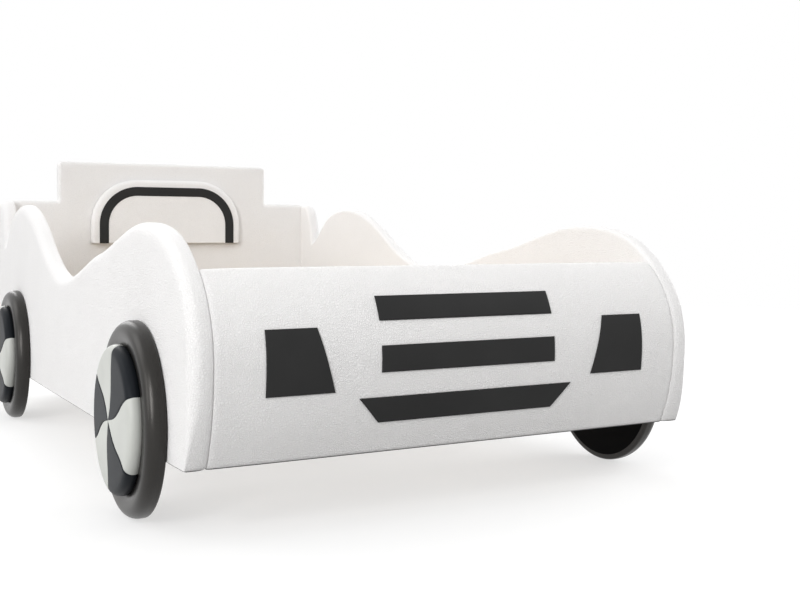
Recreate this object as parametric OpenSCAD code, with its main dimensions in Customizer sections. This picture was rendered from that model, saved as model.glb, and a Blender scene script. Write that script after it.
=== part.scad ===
// Children's bed in the shape of a car. Two padded sides with wing lines, a rounded nose,
// a stepped headboard with a window pad, four padded disc wheels and a slatted base.
// X runs across the bed, Y from the nose to the headboard, Z up from the floor.

/* [Bed] */
// Width of the mattress that the bed takes
mattress_w = 800; // [700:10:900]
// Length of the mattress that the bed takes
mattress_l = 1600; // [1400:10:1900]
// Free space along each side of the mattress
mattress_play = 10; // [5:1:20]
// Distance from the tip of the nose to the foot of the mattress
nose_room = 62; // [56:1:80]
// Height of the body's lower edge above the floor
floor_gap = 106; // [90:1:120]
// Height of the sides at the headboard, from the lower edge
side_h = 419; // [390:1:450]
// Height of the headboard's raised part above the sides
head_rise = 112; // [80:1:140]
// Height of the headboard's shoulders above the sides
head_shoulder = 3; // [0:1:8]
// Width of the headboard's raised part
head_top_w = 590; // [480:2:640]
// Corner radius of the headboard's raised part
head_corner_r = 11; // [11:1:24]

/* [Padding] */
// Thickness of a padded side
side_t = 36; // [32:1:42]
// Thickness of the padded nose
nose_t = 36; // [32:1:42]
// Thickness of the padded headboard
head_t = 38; // [32:1:44]
// Thickness of the boards inside the sides and the headboard
board_t = 16; // [12:1:18]
// Thickness of the bent board inside the nose
bent_t = 12; // [9:1:15]
// Foam over a board's edge
edge_foam = 10; // [8:1:14]
// Depth of the soft rounding on a side's outer edge
edge_r = 18; // [10:0.5:20]
// Width of the soft rounding on a side's outer edge
edge_run = 20; // [12:0.5:20.5]
// Soft rounding on a side's inner edge
inner_edge_r = 6; // [4:0.5:10]
// Soft rounding on the headboard's edges
head_edge_r = 9; // [6:0.5:10]
// Soft rounding where the nose meets the sides
end_r = 5; // [3:0.5:12]
// Radius of the sides' upper rear corners
post_corner_r = 21; // [21:1:30]

/* [Nose] */
// Height of the nose's foremost line above the lower edge
nose_rise = 144; // [130:1:160]
// Radius of the nose below that line
nose_low_r = 320; // [300:5:360]
// Radius of the nose above that line
nose_up_r = 170; // [165:1:200]
// Height of the nose panel from the lower edge
nose_h = 280; // [260:1:284]
// Share of the side's height at which the wing line leaves the nose
wing_start_share = 0.6; // [0.55:0.01:0.65]

/* [Grille and lamps] */
// Thickness of the smooth dark pieces on the nose
trim_t = 2.7; // [1.5:0.1:4]
// Length of the grille bars
grille_w = 312; // [240:2:360]
// Height of a grille bar, along the nose's skin
grille_bar_h = 40; // [28:1:44]
// Distance between the grille bars' middle lines, along the nose's skin
grille_pitch = 77; // [66:1:80]
// How far the lowest bar's top corners reach past its lower ones
grille_splay = 35; // [20:1:50]
// Distance from the nose's end to a lamp's outer edge
lamp_margin = 73; // [50:1:90]
// Length of a lamp's upper edge
lamp_top_w = 80; // [60:1:90]
// Length of a lamp's lower edge
lamp_low_w = 107; // [96:1:115]
// Height of a lamp
lamp_h = 95; // [80:1:110]
// Height of a lamp's lower edge above the body's lower edge
lamp_foot = 99; // [80:1:110]

/* [Window pad] */
// Width of the pad on the headboard
pad_w = 422; // [360:2:460]
// Height of the pad
pad_h = 177; // [150:1:200]
// Thickness of the pad
pad_t = 20; // [14:1:28]
// Radius of the pad's upper corners
pad_corner_r = 125; // [100:1:140]
// Distance from the headboard's top to the pad
pad_drop = 47; // [30:1:60]
// Distance from the pad's edge to the dark band
band_margin = 20; // [16:1:30]
// Width of the dark band
band_w = 25; // [18:1:40]
// Thickness of the dark band
band_t = 1.5; // [1:0.1:3]
// Width and depth of the soft rounding on the pad
pad_edge_r = 13; // [8:0.5:13.5]

/* [Wheels] */
// Radius of a wheel
wheel_r = 151; // [140:1:160]
// Distance from the nose to the front axle line
front_axle = 253; // [230:1:280]
// Distance from the rear end to the rear axle line
rear_axle = 348; // [300:1:380]
// Thickness of a padded tyre
tyre_t = 30; // [24:1:34]
// Soft rounding on a tyre's outer edge
tyre_round = 14; // [10:1:20]
// Soft rounding on a tyre's inner edge
tyre_back_round = 4; // [3:1:8]
// Radius of a hub
hub_r = 115; // [100:1:120]
// Thickness of a hub
hub_t = 18; // [15:1:24]
// Rise of the hub's middle over its rim
hub_dome = 2; // [1:0.5:4]
// Soft rounding on a hub's edge
hub_round = 12; // [8:1:14]
// Foam between a wheel's board and its rim
rim_foam = 10; // [7:1:14]
// Sectors of a hub, half of them dark
hub_sectors = 6; // [4:2:8]
// Angle of the first seam over the forward direction
hub_turn = 20; // [0:1:60]

/* [Slatted base] */
// Height of the rails' upper face above the body's lower edge
deck_h = 96; // [90:1:110]
// Width of a rail
rail_w = 30; // [25:1:40]
// Height of a rail
rail_h = 45; // [40:1:50]
// Width of the middle beam
beam_w = 40; // [34:1:50]
// Number of slats
slat_count = 13; // [10:1:15]
// Width of a slat
slat_w = 70; // [60:1:80]
// Thickness of a slat
slat_t = 18; // [14:1:22]
// Free space at each end of a slat
slat_play = 2; // [1:0.5:6]
// Free space from the end slats to the nose and the headboard
slat_margin = 12; // [8:1:20]
// Diameter of a leg at the beam
leg_top_d = 48; // [40:1:54]
// Diameter of a leg at the floor
leg_foot_d = 36; // [30:1:42]
// Thickness of a leg's glide
glide_t = 5; // [3:1:8]

/* [Fittings] */
// Diameter of a wheel bolt
bolt_d = 6; // [5:0.5:8]
// Diameter of a wheel bolt's head
bolt_head_d = 16; // [13:0.5:18]
// Height of a wheel bolt's head
bolt_head_h = 4; // [3:0.5:5]
// Depth of a wheel bolt in the wheel's board
bolt_grip = 11; // [8:0.5:13]
// Diameter of a rail screw
screw_d = 5; // [4:0.5:6]
// Diameter of a rail screw's head
screw_head_d = 10; // [8:0.5:12]
// Height of a rail screw's head
screw_head_h = 3; // [2:0.5:4]
// Length of a bracket's leg
bracket_leg = 35; // [30:1:40]
// Height of a bracket
bracket_h = 28; // [20:1:36]
// Thickness of a bracket
bracket_t = 2.5; // [2:0.5:4]
// Diameter of a bracket screw
small_screw_d = 4; // [3:0.5:4.5]
// Diameter of a leg's bolt
leg_bolt_d = 8; // [6:1:10]

/* [Hidden] */

// Upholstery and wood colours
white_leather = [0.93, 0.93, 0.92];
dark_leather = [0.2, 0.2, 0.2];
tyre_black = [0.13, 0.13, 0.13];
hub_white = [0.85, 0.86, 0.84];
hub_black = [0.19, 0.2, 0.21];
chipboard = [0.78, 0.66, 0.47];
black_board = [0.08, 0.08, 0.08];
plywood = [0.84, 0.71, 0.5];
pine = [0.9, 0.77, 0.55];
zinc = [0.72, 0.74, 0.76];
dark_plastic = [0.12, 0.12, 0.12];

// Overrun of every cut
over = 2;
// Gap under a piece that lies on a curved face
skin_gap = 0.3;
// Radius of the flat in the middle of a hub
hub_flat_r = 3;
// Clearance on the diameter of a fitting's hole
hole_play = 0.4;
// Clearance past a fitting's tip
tip_play = 1;
// Lift of the boards' lower edges over the covers' hems
board_lift = 1;
// Steps of a soft rounding, of a stretch of the wing line and of an arc of the nose
round_steps = 4;
line_steps = 8;
nose_steps = 7;
// Steps of the nose's round end and of the window pad's corners
cap_steps = 8;
arch_steps = 12;
// Steps of a tyre's soft rounding
tyre_steps = 6;
// Smoothness of turned pieces and holes
turned_fn = 96;
hole_fn = 24;

inner_w = mattress_w + 2 * mattress_play;
half_w = inner_w / 2;
body_l = nose_room + mattress_l + head_t;
head_front = nose_room + mattress_l;
side_top = floor_gap + side_h;
head_top = side_top + head_rise;
nose_z = floor_gap + nose_rise;
deck_z = floor_gap + deck_h;
lamp_outer = half_w - lamp_margin;
rail_low = deck_z - rail_h;
trim_out = skin_gap + trim_t;
// The origin is under the middle of the whole bed, whose foremost line is the middle grille bar
mid_y = (body_l - trim_out) / 2;

// Knots of the sides' wing line from the front crest to the notch: place as shares of the body's
// length and the side's height, angle of rise, and the curve's handles before and after as shares
// of the body's length
wing_shares = [
    [0.1680, 0.829, 0, 0.0700, 0.0480], [0.3334, 0.707, -7, 0.0525, 0.0494],
    [0.5088, 0.579, 0, 0.0589, 0.0451], [0.6509, 0.768, 30.3, 0.0493, 0.0489],
    [0.7939, 0.957, 0, 0.0471, 0.0518], [0.8920, 0.836, -38.6, 0.0274, 0.0100],
    [0.9320, 0.728, -14, 0.0120, 0]];
// Handle of the wing line where it leaves the nose
leave_share = 0.057;
// Front edge of the rear post, from the notch to the level top
notch_share = [0.9320, 0.728, 80, 0, 0.0412];
post_share = [0.9706, 1, 0, 0.0224, 0];
// Places of the legs along the beam, of the rail screws and of a wheel's bolts
leg_shares = [0.33, 0.6, 0.86];
rail_screw_shares = [0.06, 0.35, 0.65, 0.94];
cross_screw_shares = [-0.82, -0.25, 0.25, 0.82];
wheel_bolt_shares = [[-0.45, -0.15], [0.45, -0.15], [0, 0.62]];
// Share of a board's thickness that a rail screw reaches, and a bracket screw's place along its leg
grip_share = 0.75;
bracket_screw_share = 0.6;

function unit(v) = v / norm(v);
function arc(c, r, from, to, n) =
    [for (i = [0:n]) let (a = from + (to - from) * i / n) c + r * [cos(a), sin(a)]];
function backwards(p) = [for (i = [len(p) - 1:-1:0]) p[i]];

// Smooth curve between two knots, [place, angle, handle before, handle after], without its first point
function curve(a, b, n) = let (
    p = a[0] + a[3] * [cos(a[1]), sin(a[1])], q = b[0] - b[2] * [cos(b[1]), sin(b[1])])
    [for (i = [1:n]) let (t = i / n, u = 1 - t)
        a[0] * u * u * u + 3 * p * u * u * t + 3 * q * u * t * t + b[0] * t * t * t];
// Triangles that fill a closed outline, counter-clockwise, as places in its list of points
function turn(a, b, c) = (b.x - a.x) * (c.y - a.y) - (b.y - a.y) * (c.x - a.x);
function corner_at(ids, k) = let (n = len(ids)) [ids[(k + n - 1) % n], ids[k], ids[(k + 1) % n]];
function is_ear(p, ids, k) = let (t = corner_at(ids, k), a = p[t[0]], b = p[t[1]], c = p[t[2]])
    turn(a, b, c) > 0 && len([for (i = ids) if (i != t[0] && i != t[1] && i != t[2]
        && turn(a, b, p[i]) >= 0 && turn(b, c, p[i]) >= 0 && turn(c, a, p[i]) >= 0) i]) == 0;
function next_ear(p, ids, k) = is_ear(p, ids, k) ? k : next_ear(p, ids, k + 1);
function fill(p, ids) = len(ids) == 3 ? [ids] : let (k = next_ear(p, ids, 0))
    concat([corner_at(ids, k)], fill(p, [for (i = [0:len(ids) - 1]) if (i != k) ids[i]]));
// Closed outline, counter-clockwise, moved inwards by d
function inset(p, d) = let (n = len(p)) [for (i = [0:n - 1])
    let (a = unit(p[i] - p[(i + n - 1) % n]), b = unit(p[(i + 1) % n] - p[i]),
         u = [-a.y, a.x], v = [-b.y, b.x])
    p[i] + d * (u + v) / (1 + u * v)];

// Point of the nose's section at an angle over its foremost line, at a depth under the skin
function nose_point(a, depth) = a < 0
    ? [nose_low_r - (nose_low_r - depth) * cos(a), nose_z + (nose_low_r - depth) * sin(a)]
    : [nose_up_r - (nose_up_r - depth) * cos(a), nose_z + (nose_up_r - depth) * sin(a)];
function nose_line(from, to, depth, n) = concat(
    from < 0 ? [for (i = [0:n]) nose_point(from + (min(to, 0) - from) * i / n, depth)] : [],
    to > 0 ? [for (i = [from < 0 ? 1 : 0:n], mid = [max(from, 0)])
        nose_point(mid + (to - mid) * i / n, depth)] : []);
// Angle of the nose's skin, or of a layer under it, at a height
function nose_angle(z, depth) = z < nose_z
    ? -asin((nose_z - z) / (nose_low_r - depth)) : asin((z - nose_z) / (nose_up_r - depth));
function nose_y(z, depth) = nose_point(nose_angle(z, depth), depth).x;
// Height of a place on the nose's skin, so far along the skin over its foremost line
function skin_z(s) = let (r = s < 0 ? nose_low_r : nose_up_r) nose_z + r * sin(s / r * 180 / PI);

// Sides
wing_leave = floor_gap + wing_start_share * side_h;
function knot(s) = [[s[0] * body_l, floor_gap + s[1] * side_h], s[2], s[3] * body_l, s[4] * body_l];

function side_outline(foot) = let (
    leave = nose_angle(wing_leave, 0),
    nose = nose_line(nose_angle(foot, 0), leave, 0, nose_steps),
    wing = concat([[nose_point(leave, 0), 90 - leave, 0, leave_share * body_l]],
        [for (s = wing_shares) knot(s)]),
    corner = arc([body_l - post_corner_r, side_top - post_corner_r], post_corner_r, 90, 0, round_steps))
    backwards(concat(nose, [for (i = [1:len(wing) - 1]) each curve(wing[i - 1], wing[i], line_steps)],
        curve(knot(notch_share), knot(post_share), line_steps), corner, [[body_l, foot]]));
// Board inside a padded outline, with its lower edge down at a given height
function board_outline(outline, foot) = [for (p = inset(outline, edge_foam))
    [p.x, p.y < floor_gap + edge_foam + board_lift ? foot : p.y]];

// Slab between z = 0 and z = t over an outline. low and high are the depth and width of the soft
// rounding along its two faces, or zeros where the edge is square
module soft_slab(outline, t, low, high) {
    n = len(outline);
    steps = [for (i = [0:round_steps]) 90 * i / round_steps];
    rings = concat(
        low[0] > 0 ? [for (a = backwards(steps)) [low[0] * (1 - sin(a)), low[1] * (1 - cos(a))]] : [[0, 0]],
        high[0] > 0 ? [for (a = steps) [t - high[0] * (1 - sin(a)), high[1] * (1 - cos(a))]] : [[t, 0]]);
    last = len(rings) - 1;
    points = [for (g = rings) let (o = g[1] > 0 ? inset(outline, g[1]) : outline)
        for (p = o) [p.x, p.y, g[0]]];
    sides = [for (k = [0:last - 1], i = [0:n - 1]) let (j = (i + 1) % n)
        each [[k * n + i, k * n + n + i, k * n + n + j], [k * n + i, k * n + n + j, k * n + j]]];
    ids = [for (i = [0:n - 1]) i];
    foot = fill([for (i = ids) [points[i].x, points[i].y]], ids);
    head = fill([for (i = ids) [points[last * n + i].x, points[last * n + i].y]], ids);
    polyhedron(points, concat(sides, foot, [for (f = head) backwards([for (i = f) last * n + i])]));
}

// The same slab cut off square at its foot, which the outline passes by that much
function under(foot, run) = foot - run - over;
module cut_slab(outline, foot, t, low, high) {
    xs = [for (p = outline) p.x];
    run = max(low[1], high[1]);
    difference() {
        soft_slab(outline, t, low, high);
        translate([min(xs) - over, under(foot, run) - over, -over])
            cube([max(xs) - min(xs) + 2 * over, run + 2 * over, t + 2 * over]);
    }
}

// Local x to Y, local y to Z, local z to X
module along_x(x) { translate([x, 0, 0]) rotate([90, 0, 90]) children(); }
// Local y to Z, local z backwards along Y from a given place
module along_y(y) { translate([0, y, 0]) rotate([90, 0, 0]) children(); }
module both_sides() { children(); mirror([1, 0, 0]) children(); }
module flip_x(flip) { if (flip) mirror([1, 0, 0]) children(); else children(); }
module flip_y(flip) { if (flip) mirror([0, 1, 0]) children(); else children(); }
// Everything stands with the origin under the bed's middle
module place() { translate([0, -mid_y, 0]) children(); }

// Wheel places
axle_y = [front_axle, body_l - rear_axle];
// Frame of a wheel: local x forward on the left side and rearward on the right, y up, z outwards
module on_wheel(left, axle) {
    out = half_w + side_t;
    translate([left ? -out : out, axle_y[axle], wheel_r]) rotate([90, 0, left ? -90 : 90]) children();
}
module wheel_bolt_places() {
    for (s = wheel_bolt_shares) translate([s.x * wheel_r, s.y * wheel_r, 0]) children();
}
// A bolt from the inner face of the side into the wheel's board, or its hole
module wheel_bolt(play = 0) {
    tip = bolt_grip + (play > 0 ? tip_play : 0);
    translate([0, 0, -side_t - (play > 0 ? over : 0)])
        cylinder(d = bolt_d + play, h = side_t + tip + (play > 0 ? over : 0), $fn = hole_fn);
}
module wheel_bolt_holes(left) {
    for (axle = [0, 1]) on_wheel(left, axle) wheel_bolt_places() wheel_bolt(hole_play);
}

// Rail screws: head on the rail, tip in the board behind the padding
side_foam = (side_t - board_t) / 2;
head_foam = (head_t - board_t) / 2;
nose_foam = (nose_t - bent_t) / 2;
side_screw_l = rail_w + side_foam + board_t * grip_share;
head_screw_l = rail_w + head_foam + board_t * grip_share;
screw_z = deck_z - rail_h / 2;
foot_rear = nose_y(rail_low, nose_t) + rail_w;
head_rail_y = head_front - rail_w;
foot_screw_l = foot_rear - nose_y(screw_z, nose_foam + bent_t * (1 - grip_share));
rail_l = head_rail_y - foot_rear;
// Screw along -Z from a face at z = 0, or its hole
module screw(d, l, head_d, head_h) {
    translate([0, 0, -l]) cylinder(d = d, h = l, $fn = hole_fn);
    cylinder(d = head_d, h = head_h, $fn = hole_fn);
}
module screw_hole(d, l) {
    translate([0, 0, -l - tip_play]) cylinder(d = d + hole_play, h = l + tip_play + over, $fn = hole_fn);
}
module side_screw_places() {
    for (s = rail_screw_shares)
        translate([half_w - rail_w, foot_rear + s * rail_l, screw_z]) rotate([0, -90, 0]) children();
}
module foot_screw_places() {
    for (s = cross_screw_shares) translate([s * half_w, foot_rear, screw_z]) rotate([-90, 0, 0]) children();
}
module head_screw_places() {
    for (s = cross_screw_shares) translate([s * half_w, head_rail_y, screw_z]) rotate([90, 0, 0]) children();
}

// Side boards and covers, drawn for the right side
module side_holes(left) {
    flip_x(left) side_screw_places() screw_hole(screw_d, side_screw_l);
    wheel_bolt_holes(left);
}
module side_board(left) {
    color(chipboard) place() difference() {
        flip_x(left) along_x(half_w + side_foam) linear_extrude(board_t)
            polygon(board_outline(side_outline(floor_gap), floor_gap + board_lift));
        side_holes(left);
    }
}
module side_cover(left) {
    color(white_leather) place() difference() {
        flip_x(left) along_x(half_w) difference() {
            cut_slab(side_outline(under(floor_gap, edge_run)), floor_gap, side_t,
                [inner_edge_r, inner_edge_r], [edge_r, edge_run]);
            translate([0, 0, side_foam]) linear_extrude(board_t)
                polygon(board_outline(side_outline(floor_gap), floor_gap - over));
        }
        side_holes(left);
    }
}

// Nose: bent board in a padded cover that ends in a round edge
nose_top_a = asin((nose_h - nose_rise - nose_t / 2) / (nose_up_r - nose_t / 2));
module nose_holes() { foot_screw_places() screw_hole(screw_d, foot_screw_l); }
function nose_outline() = let (
    top = nose_point(nose_top_a, nose_t / 2),
    outer = nose_line(nose_angle(floor_gap, 0), nose_top_a, 0, nose_steps),
    inner = nose_line(nose_angle(floor_gap, nose_t), nose_top_a, nose_t, nose_steps),
    cap = arc(top, nose_t / 2, 180 - nose_top_a, -nose_top_a, cap_steps))
    concat(inner, [for (i = [cap_steps - 1:-1:1]) cap[i]], backwards(outer));
function bent_outline(foot) = let (
    back = nose_foam + bent_t,
    low = floor_gap + board_lift,
    outer = nose_line(nose_angle(low, nose_foam), nose_top_a, nose_foam, nose_steps),
    inner = nose_line(nose_angle(low, back), nose_top_a, back, nose_steps))
    concat([[inner[0].x, foot]], inner, backwards(outer), [[outer[0].x, foot]]);
module nose_cover() {
    color(white_leather) place() difference() {
        along_x(-half_w) soft_slab(nose_outline(), inner_w, [end_r, end_r], [end_r, end_r]);
        along_x(-half_w + edge_foam) linear_extrude(inner_w - 2 * edge_foam)
            polygon(bent_outline(floor_gap - over));
        nose_holes();
    }
}
module nose_board() {
    color(plywood) place() difference() {
        along_x(-half_w + edge_foam) linear_extrude(inner_w - 2 * edge_foam)
            polygon(bent_outline(floor_gap + board_lift / 2));
        nose_holes();
    }
}

// Smooth dark pieces that follow the nose
module nose_skin(low, high, w) {
    from = nose_angle(low, 0);
    to = nose_angle(high, 0);
    along_x(-w / 2) linear_extrude(w) polygon(concat(nose_line(from, to, -skin_gap, nose_steps),
        backwards(nose_line(from, to, -trim_out, nose_steps))));
}
// Nose piece between two heights, cut to an outline seen from the front
module nose_trim(low, high, w, outline) {
    color(dark_leather) place() intersection() {
        nose_skin(low, high, w);
        along_y(nose_up_r) linear_extrude(nose_up_r + 2 * trim_out) polygon(outline);
    }
}
module grille_bar(i) {
    middle = (i - 1) * grille_pitch;
    low = skin_z(middle - grille_bar_h / 2);
    high = skin_z(middle + grille_bar_h / 2);
    splay = i == 0 ? grille_splay : 0;
    half = grille_w / 2;
    nose_trim(low, high, grille_w + 2 * splay, [[-half, low - trim_out], [half, low - trim_out],
        [half, low], [half + splay, high], [half + splay, high + trim_out],
        [-half - splay, high + trim_out], [-half - splay, high], [-half, low]]);
}
module lamp(left) {
    low = floor_gap + lamp_foot;
    high = low + lamp_h;
    flip_x(left) nose_trim(low, high, 2 * lamp_outer, [[lamp_outer - lamp_low_w, low - trim_out],
        [lamp_outer, low - trim_out], [lamp_outer, high + trim_out],
        [lamp_outer - lamp_top_w, high + trim_out], [lamp_outer - lamp_top_w, high],
        [lamp_outer - lamp_low_w, low]]);
}

// Headboard between the sides, seen from the front
function head_outline(foot) = let (
    c = head_corner_r,
    h = head_top_w / 2,
    step = side_top + head_shoulder) concat(
    [[-half_w, foot], [half_w, foot], [half_w, step], [h, step]],
    arc([h - c, head_top - c], c, 0, 90, round_steps),
    arc([c - h, head_top - c], c, 90, 180, round_steps),
    [[-h, step], [-half_w, step]]);
module head_holes() { head_screw_places() screw_hole(screw_d, head_screw_l); }
module head_cover() {
    color(white_leather) place() difference() {
        along_y(body_l) cut_slab(head_outline(under(floor_gap, head_edge_r)), floor_gap, head_t,
            [head_edge_r, head_edge_r], [head_edge_r, head_edge_r]);
        along_y(body_l - head_foam) linear_extrude(board_t)
            polygon(board_outline(head_outline(floor_gap), floor_gap - over));
        head_holes();
    }
}
module head_board() {
    color(chipboard) place() difference() {
        along_y(body_l - head_foam) linear_extrude(board_t)
            polygon(board_outline(head_outline(floor_gap), floor_gap + board_lift));
        head_holes();
    }
}
pad_low = head_top - pad_drop - pad_h;
// Arch with round upper corners, d inside the pad's edge
function arch(d) = let (h = pad_w / 2 - d, r = pad_corner_r - d, top = pad_low + pad_h - d) concat(
    arc([h - r, top - r], r, 0, 90, arch_steps), arc([r - h, top - r], r, 90, 180, arch_steps));
module window_pad() {
    foot = under(pad_low, pad_edge_r);
    color(white_leather) place() along_y(head_front)
        cut_slab(concat([[-pad_w / 2, foot], [pad_w / 2, foot]], arch(0)), pad_low,
            pad_t, [0, 0], [pad_edge_r, pad_edge_r]);
}
module window_band() {
    foot = pad_low;
    outer = pad_w / 2 - band_margin;
    inner = outer - band_w;
    color(dark_leather) place() along_y(head_front - pad_t) linear_extrude(band_t)
        polygon(concat([[outer, foot]], arch(band_margin), [[-outer, foot], [-inner, foot]],
            backwards(arch(band_margin + band_w)), [[inner, foot]]));
}

// Wheels: a board in a padded tyre, with a padded hub of sewn sectors
core_r = wheel_r - rim_foam;
core_t = board_t;
module wheel_board(left, axle) {
    color(black_board) place() on_wheel(left, axle) difference() {
        cylinder(r = core_r, h = core_t, $fn = turned_fn);
        wheel_bolt_places() wheel_bolt(hole_play);
    }
}
module tyre(left, axle) {
    color(tyre_black) place() on_wheel(left, axle) rotate_extrude($fn = turned_fn) polygon(concat(
        [[0, tyre_t], [0, core_t], [core_r, core_t], [core_r, 0]],
        arc([wheel_r - tyre_back_round, tyre_back_round], tyre_back_round, -90, 0, round_steps),
        arc([wheel_r - tyre_round, tyre_t - tyre_round], tyre_round, 0, 90, tyre_steps)));
}
module hub(left, axle, dark) {
    step = 360 / hub_sectors;
    color(dark ? hub_black : hub_white) place() on_wheel(left, axle) translate([0, 0, tyre_t])
        for (i = [0:hub_sectors / 2 - 1], from = [hub_turn + (2 * i + (dark ? 0 : 1)) * step])
            rotate(left ? from : 180 - from - step) rotate_extrude(angle = step, $fn = turned_fn)
                polygon(concat([[0, 0], [hub_r, 0]],
                    arc([hub_r - hub_round, hub_t - hub_round], hub_round, 0, 90, round_steps),
                    [[hub_flat_r, hub_t + hub_dome], [0, hub_t + hub_dome]]));
}
module wheel_bolts() {
    color(zinc) place() for (left = [true, false], axle = [0, 1]) on_wheel(left, axle) wheel_bolt_places() {
        wheel_bolt();
        translate([0, 0, -side_t - bolt_head_h]) cylinder(d = bolt_head_d, h = bolt_head_h, $fn = hole_fn);
    }
}

// Brackets in the corners of the rails and at the ends of the beam
bracket_z = screw_z - bracket_h / 2;
small_screw_l = rail_w / 2;
module bracket_corners() {
    for (side = [-1, 1], at_head = [false, true], at_beam = [false, true])
        translate([side * (at_beam ? beam_w / 2 : half_w - rail_w), at_head ? head_rail_y : foot_rear,
            bracket_z]) flip_x((side > 0) != at_beam) flip_y(at_head) children();
}
module bracket_screw_places() {
    translate([bracket_leg * bracket_screw_share, bracket_t, bracket_h / 2]) rotate([-90, 0, 0]) children();
    translate([bracket_t, bracket_leg * bracket_screw_share, bracket_h / 2]) rotate([0, 90, 0]) children();
}
module bracket_holes() {
    bracket_corners() bracket_screw_places() screw_hole(small_screw_d, small_screw_l);
}
module corner_brackets() {
    color(zinc) place() bracket_corners() difference() {
        cube([bracket_leg, bracket_leg, bracket_h]);
        translate([bracket_t, bracket_t, -over]) cube([bracket_leg, bracket_leg, bracket_h + 2 * over]);
        bracket_screw_places() screw_hole(small_screw_d, small_screw_l);
    }
}
module bracket_screws() {
    color(zinc) place() bracket_corners() bracket_screw_places()
        screw(small_screw_d, small_screw_l, small_screw_d * 2, small_screw_d / 2);
}
module rail_screws() {
    color(zinc) place() {
        both_sides() side_screw_places() screw(screw_d, side_screw_l, screw_head_d, screw_head_h);
        foot_screw_places() screw(screw_d, foot_screw_l, screw_head_d, screw_head_h);
        head_screw_places() screw(screw_d, head_screw_l, screw_head_d, screw_head_h);
    }
}

// Rails round the base and the beam down its middle
module side_rail(left) {
    color(pine) place() difference() {
        flip_x(left) translate([half_w - rail_w, foot_rear, rail_low]) cube([rail_w, rail_l, rail_h]);
        flip_x(left) side_screw_places() screw_hole(screw_d, side_screw_l);
        bracket_holes();
    }
}
module foot_rail() {
    from = nose_angle(rail_low, nose_t + skin_gap);
    to = nose_angle(deck_z, nose_t + skin_gap);
    color(pine) place() difference() {
        along_x(-half_w) linear_extrude(inner_w) polygon(concat(
            [[foot_rear, rail_low], [foot_rear, deck_z]],
            backwards(nose_line(from, to, nose_t + skin_gap, nose_steps))));
        foot_screw_places() screw_hole(screw_d, foot_screw_l);
        bracket_holes();
    }
}
module head_rail() {
    color(pine) place() difference() {
        translate([-half_w, head_rail_y, rail_low]) cube([inner_w, rail_w, rail_h]);
        head_screw_places() screw_hole(screw_d, head_screw_l);
        bracket_holes();
    }
}
leg_bolt_l = rail_h;
module leg_places() {
    for (s = leg_shares) translate([0, s * body_l, rail_low]) children();
}
module leg_bolt_hole() {
    translate([0, 0, -leg_bolt_l / 2 - tip_play])
        cylinder(d = leg_bolt_d + hole_play, h = leg_bolt_l + 2 * tip_play, $fn = hole_fn);
}
module middle_beam() {
    color(pine) place() difference() {
        translate([-beam_w / 2, foot_rear, rail_low]) cube([beam_w, rail_l, rail_h]);
        leg_places() leg_bolt_hole();
        bracket_holes();
    }
}
slat_from = nose_y(deck_z, nose_t) + slat_margin;
slat_pitch = (head_front - slat_margin - slat_w - slat_from) / (slat_count - 1);
module slat(i) {
    color(plywood) place() translate([-half_w + slat_play, slat_from + (i - 1) * slat_pitch, deck_z])
        cube([inner_w - 2 * slat_play, slat_w, slat_t]);
}
leg_h = rail_low - glide_t;
module leg(i) {
    color(pine) place() difference() {
        translate([0, leg_shares[i] * body_l, glide_t])
            cylinder(d1 = leg_foot_d, d2 = leg_top_d, h = leg_h, $fn = turned_fn);
        leg_places() leg_bolt_hole();
    }
}
module leg_glides() {
    color(dark_plastic) place() for (s = leg_shares) translate([0, s * body_l, 0])
        cylinder(d = leg_foot_d, h = glide_t, $fn = turned_fn);
}
module leg_bolts() {
    color(zinc) place() leg_places() translate([0, 0, -leg_bolt_l / 2])
        cylinder(d = leg_bolt_d, h = leg_bolt_l, $fn = hole_fn);
}

side_board(true);  // side_board_left
side_board(false);  // side_board_right
side_cover(true);  // side_cover_left
side_cover(false);  // side_cover_right
nose_board();
nose_cover();
grille_bar(0);  // grille_bar_low
grille_bar(1);  // grille_bar_middle
grille_bar(2);  // grille_bar_top
lamp(true);  // lamp_left
lamp(false);  // lamp_right
head_board();
head_cover();
window_pad();
window_band();
for (axle = [0, 1], left = [true, false]) {
    name = str(axle == 0 ? "front" : "rear", left ? "_left" : "_right");
    wheel_board(left, axle);
    tyre(left, axle);
    hub(left, axle, false);
    hub(left, axle, true);
}
wheel_bolts();
side_rail(true);  // side_rail_left
side_rail(false);  // side_rail_right
foot_rail();
head_rail();
middle_beam();
for (i = [1:slat_count]) slat(i);
leg(0);  // leg_front
leg(1);  // leg_middle
leg(2);  // leg_rear
leg_glides();
leg_bolts();
corner_brackets();
bracket_screws();
rail_screws();
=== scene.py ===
# Children's bed in the shape of a car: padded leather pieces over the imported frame, with a studio round it.
# Metres. X runs across the bed, Y from the nose to the headboard, Z up from the floor.
import math

import bmesh
import bpy
import numpy as np
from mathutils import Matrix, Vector, noise
from mathutils.geometry import delaunay_2d_cdt


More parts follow.
